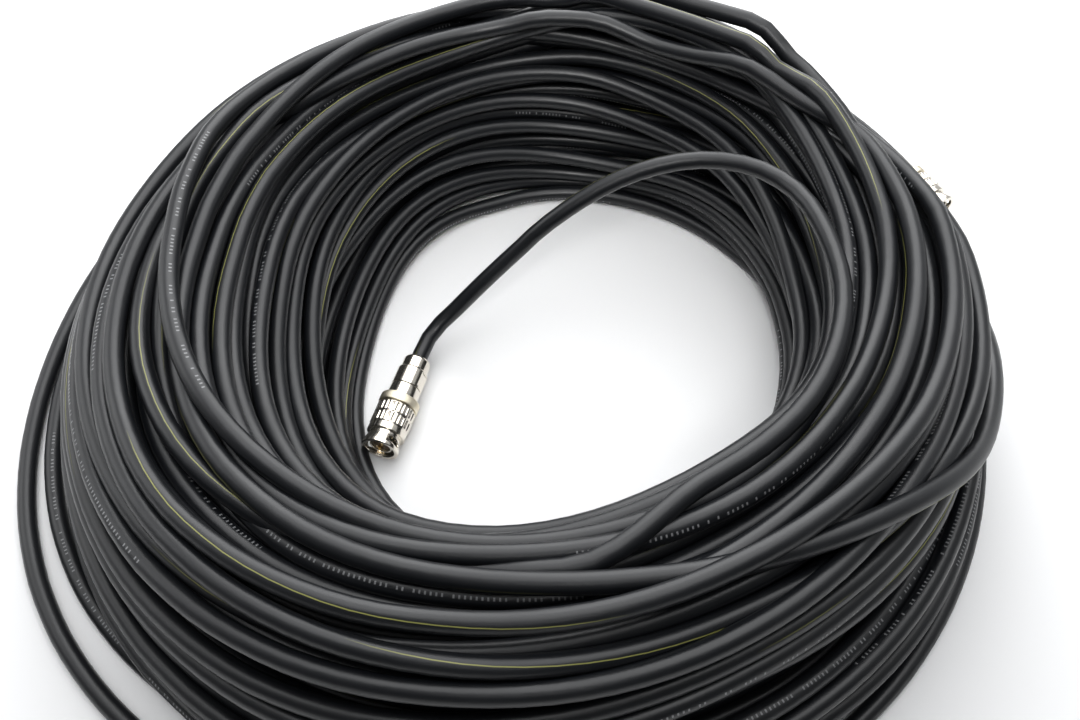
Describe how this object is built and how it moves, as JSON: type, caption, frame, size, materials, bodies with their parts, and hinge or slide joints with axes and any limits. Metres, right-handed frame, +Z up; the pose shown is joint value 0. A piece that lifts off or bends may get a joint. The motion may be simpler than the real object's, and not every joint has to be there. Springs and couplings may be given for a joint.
{
  "type": "coaxial cable coil",
  "caption": "Loose hand-wound round heap of coaxial cable turns with an open bore, and a bayonet plug with a turning coupling on each end of the cable.",
  "frame": {"origin": "middle of the part's footprint, on the floor", "axes": "+Z up, along the axis of the coil's bore; +X to the right and +Y away from the side where the plug in the bore points"},
  "size_m": [0.354, 0.35, 0.0801],
  "materials": {
    "jacket": "matt black PVC with a soft sheen",
    "plug_metal": "bright nickel plate",
    "dielectric": "dull brown",
    "contact_gold": "bright gold plate"
  },
  "bodies": {
    "cable": {"cable_coil": "jacket", "cable_lead_inner": "jacket", "cable_lead_outer": "jacket", "plug_a_clamp_nut": "plug_metal", "plug_a_body": "plug_metal", "plug_a_flange_ring": "plug_metal", "plug_a_insulator": "dielectric", "plug_a_centre_pin": "contact_gold", "plug_b_clamp_nut": "plug_metal", "plug_b_body": "plug_metal", "plug_b_flange_ring": "plug_metal", "plug_b_insulator": "dielectric", "plug_b_centre_pin": "contact_gold"},
    "coupling_a": {"plug_a_coupling": "plug_metal"},
    "coupling_b": {"plug_b_coupling": "plug_metal"}
  },
  "joints": [
    {"name": "coupling_a_turn", "type": "hinge", "parent": "cable", "child": "coupling_a", "pos_m": [-0.04996, -0.04335, 0.0069], "axis": [-0.2855, -0.9578, -0.0323], "continuous": true},
    {"name": "coupling_b_turn", "type": "hinge", "parent": "cable", "child": "coupling_b", "pos_m": [0.1713, 0.07009, 0.0069], "axis": [0.5222, -0.8522, -0.0323], "continuous": true}
  ]
}
